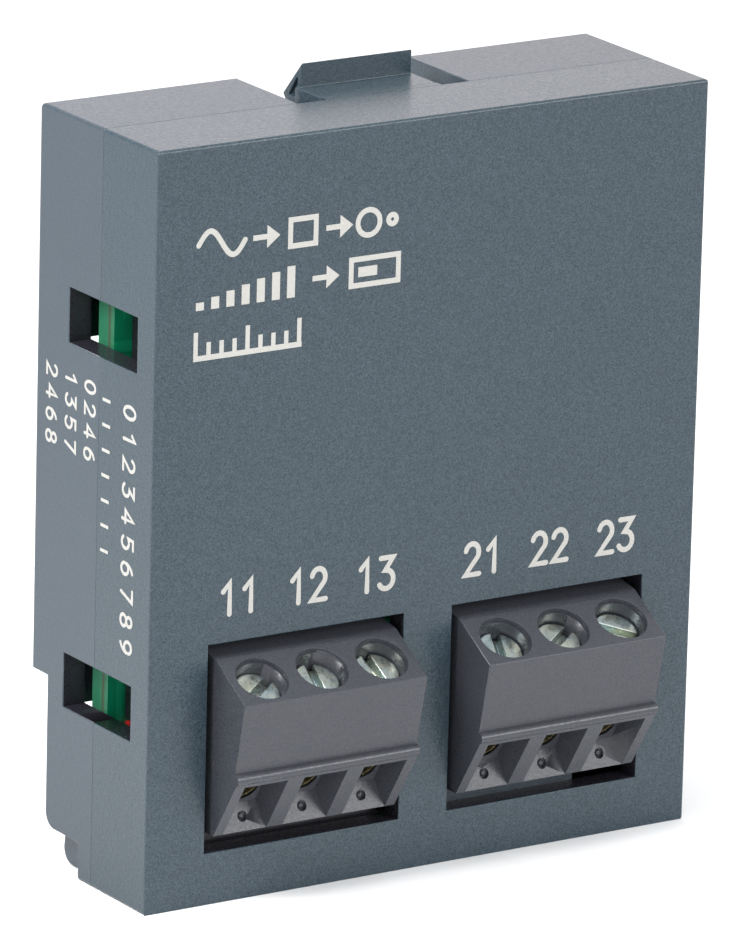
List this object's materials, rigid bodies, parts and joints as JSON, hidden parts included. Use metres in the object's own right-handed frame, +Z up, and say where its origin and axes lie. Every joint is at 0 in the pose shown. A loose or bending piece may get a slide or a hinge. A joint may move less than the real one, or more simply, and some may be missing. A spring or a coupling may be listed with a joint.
{
  "type": "plug-in expansion cartridge for a programmable controller",
  "caption": "Flat blue-grey plug-in I/O cartridge for a programmable controller, with slanted screw terminal blocks, a spring catch on top and a bus socket in the rear.",
  "frame": {"origin": "middle of the footprint of the whole cartridge, on the plane it stands on", "axes": "+X to the right across the panel, +Y from the panel to the rear face, +Z up towards the catch"},
  "size_m": [0.0352, 0.0154, 0.0439],
  "materials": {
    "housing_plastic": "fine matte texture, blue-grey moulded polymer",
    "terminal_plastic": "charcoal moulded polyamide, satin",
    "zinc_steel": "zinc plated, satin",
    "clamp_brass": "plated brass, satin",
    "tinned_contact": "tin plated",
    "board_laminate": "green solder mask over glass laminate",
    "connector_plastic": "black moulded",
    "contact_gold": "gold flashed",
    "potted_plastic": "black potting case",
    "chip_plastic": "black moulding compound with tinned legs",
    "capacitor_yellow": "ochre moulded",
    "resistor_black": "glazed",
    "capacitor_ceramic": "fired ceramic, tan",
    "diode_red": "red cast"
  },
  "bodies": {
    "housing": {"front_cover": "housing_plastic", "rear_cover": "housing_plastic", "circuit_board": "board_laminate", "left_terminal_block": "terminal_plastic", "right_terminal_block": "terminal_plastic", "terminal_contact_1": "tinned_contact", "terminal_contact_2": "tinned_contact", "terminal_contact_3": "tinned_contact", "terminal_contact_4": "tinned_contact", "terminal_contact_5": "tinned_contact", "terminal_contact_6": "tinned_contact", "bus_connector": "connector_plastic", "bus_contacts": "contact_gold", "power_converter": "potted_plastic", "isolator_chip": "chip_plastic", "signal_converter": "chip_plastic", "memory_chip": "chip_plastic", "tantalum_capacitors": "capacitor_yellow", "chip_resistors": "resistor_black", "chip_capacitors": "capacitor_ceramic", "indicator_diode": "diode_red"},
    "screw_1": {"terminal_screw_1": "zinc_steel"},
    "screw_2": {"terminal_screw_2": "zinc_steel"},
    "screw_3": {"terminal_screw_3": "zinc_steel"},
    "screw_4": {"terminal_screw_4": "zinc_steel"},
    "screw_5": {"terminal_screw_5": "zinc_steel"},
    "screw_6": {"terminal_screw_6": "zinc_steel"},
    "clamp_1": {"wire_clamp_1": "clamp_brass"},
    "clamp_2": {"wire_clamp_2": "clamp_brass"},
    "clamp_3": {"wire_clamp_3": "clamp_brass"},
    "clamp_4": {"wire_clamp_4": "clamp_brass"},
    "clamp_5": {"wire_clamp_5": "clamp_brass"},
    "clamp_6": {"wire_clamp_6": "clamp_brass"},
    "latch": {"release_latch": "housing_plastic"}
  },
  "joints": [
    {"name": "screw_1_turn", "type": "hinge", "parent": "housing", "child": "screw_1", "pos_m": [-0.01144, -0.0061, 0.013], "axis": [0, 0.5, -0.866], "range_deg": [0, 1081]},
    {"name": "screw_2_turn", "type": "hinge", "parent": "housing", "child": "screw_2", "pos_m": [-0.00762, -0.0061, 0.013], "axis": [0, 0.5, -0.866], "range_deg": [0, 1081]},
    {"name": "screw_3_turn", "type": "hinge", "parent": "housing", "child": "screw_3", "pos_m": [-0.00381, -0.0061, 0.013], "axis": [0, 0.5, -0.866], "range_deg": [0, 1081]},
    {"name": "screw_4_turn", "type": "hinge", "parent": "housing", "child": "screw_4", "pos_m": [0.00421, -0.0061, 0.013], "axis": [0, 0.5, -0.866], "range_deg": [0, 1081]},
    {"name": "screw_5_turn", "type": "hinge", "parent": "housing", "child": "screw_5", "pos_m": [0.00802, -0.0061, 0.013], "axis": [0, 0.5, -0.866], "range_deg": [0, 1081]},
    {"name": "screw_6_turn", "type": "hinge", "parent": "housing", "child": "screw_6", "pos_m": [0.01184, -0.0061, 0.013], "axis": [0, 0.5, -0.866], "range_deg": [0, 1081]},
    {"name": "clamp_1_rise", "type": "slide", "parent": "housing", "child": "clamp_1", "axis": [0, -0.5, 0.866], "range_m": [0, 0.0012]},
    {"name": "clamp_2_rise", "type": "slide", "parent": "housing", "child": "clamp_2", "axis": [0, -0.5, 0.866], "range_m": [0, 0.0012]},
    {"name": "clamp_3_rise", "type": "slide", "parent": "housing", "child": "clamp_3", "axis": [0, -0.5, 0.866], "range_m": [0, 0.0012]},
    {"name": "clamp_4_rise", "type": "slide", "parent": "housing", "child": "clamp_4", "axis": [0, -0.5, 0.866], "range_m": [0, 0.0012]},
    {"name": "clamp_5_rise", "type": "slide", "parent": "housing", "child": "clamp_5", "axis": [0, -0.5, 0.866], "range_m": [0, 0.0012]},
    {"name": "clamp_6_rise", "type": "slide", "parent": "housing", "child": "clamp_6", "axis": [0, -0.5, 0.866], "range_m": [0, 0.0012]},
    {"name": "latch_press", "type": "hinge", "parent": "housing", "child": "latch", "pos_m": [0.0001, 0.00165, 0.04205], "axis": [-1, 0, 0], "range_deg": [0, 10], "stiffness_Nm_per_rad": 0.1}
  ],
  "couplings": [
    {"joint": "screw_1_turn", "follows": "clamp_1_rise", "rad_per_m": 15708},
    {"joint": "screw_2_turn", "follows": "clamp_2_rise", "rad_per_m": 15708},
    {"joint": "screw_3_turn", "follows": "clamp_3_rise", "rad_per_m": 15708},
    {"joint": "screw_4_turn", "follows": "clamp_4_rise", "rad_per_m": 15708},
    {"joint": "screw_5_turn", "follows": "clamp_5_rise", "rad_per_m": 15708},
    {"joint": "screw_6_turn", "follows": "clamp_6_rise", "rad_per_m": 15708}
  ]
}
